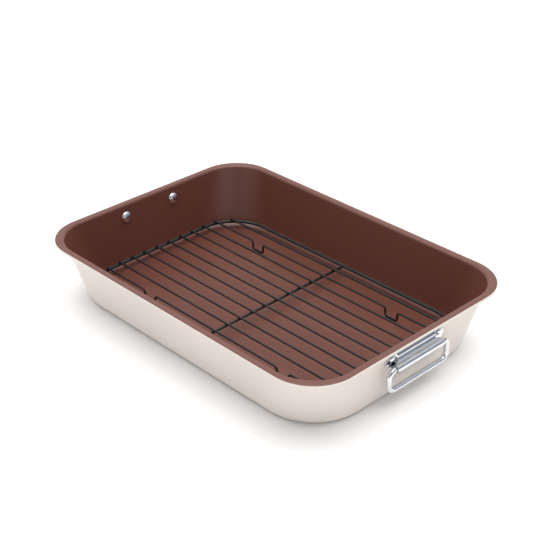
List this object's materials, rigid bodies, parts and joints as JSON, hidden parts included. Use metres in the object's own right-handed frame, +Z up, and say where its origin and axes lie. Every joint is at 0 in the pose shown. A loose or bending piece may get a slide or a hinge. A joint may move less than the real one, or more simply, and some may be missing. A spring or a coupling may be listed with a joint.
{
  "type": "roasting pan with rack",
  "caption": "Rectangular roasting pan of coated drawn steel with a curled rim, swinging wire handles on riveted stamped brackets, and a lift-out wire rack that stands on bent feet.",
  "frame": {"origin": "centre of the pan's base, on the surface it stands on", "axes": "+X along the pan towards the right handle, +Y across the pan to the rear, +Z up"},
  "size_m": [0.4012, 0.285, 0.065],
  "materials": {
    "pan_coat": "semi-gloss cream coat outside, brown non-stick coat inside and over the rim",
    "handle_chrome": "bright plated steel",
    "rivet_steel": "plain rivet steel",
    "rack_coat": "satin black non-stick coat"
  },
  "bodies": {
    "pan": {"pan_body": "pan_coat", "right_bracket": "handle_chrome", "right_rivet_a": "rivet_steel", "right_rivet_b": "rivet_steel", "left_bracket": "handle_chrome", "left_rivet_a": "rivet_steel", "left_rivet_b": "rivet_steel"},
    "right_handle": {"right_bail": "handle_chrome"},
    "left_handle": {"left_bail": "handle_chrome"},
    "rack": {"rack_frame": "rack_coat", "rack_cross_wire": "rack_coat", "rack_wire_front_1": "rack_coat", "rack_wire_front_2": "rack_coat", "rack_wire_front_3": "rack_coat", "rack_wire_front_4": "rack_coat", "rack_foot_wire_front": "rack_coat", "rack_wire_front_6": "rack_coat", "rack_wire_rear_1": "rack_coat", "rack_wire_rear_2": "rack_coat", "rack_wire_rear_3": "rack_coat", "rack_wire_rear_4": "rack_coat", "rack_foot_wire_rear": "rack_coat", "rack_wire_rear_6": "rack_coat"}
  },
  "joints": [
    {"name": "right_handle_swing", "type": "hinge", "parent": "pan", "child": "right_handle", "pos_m": [0.1964, 0, 0.04088], "axis": [0, -1, 0], "range_deg": [-20, 160]},
    {"name": "left_handle_swing", "type": "hinge", "parent": "pan", "child": "left_handle", "pos_m": [-0.1964, 0, 0.04088], "axis": [0, 1, 0], "range_deg": [-20, 160]},
    {"name": "rack_lift", "type": "slide", "parent": "pan", "child": "rack", "axis": [0, 0, 1], "range_m": [0, 0.08]}
  ]
}
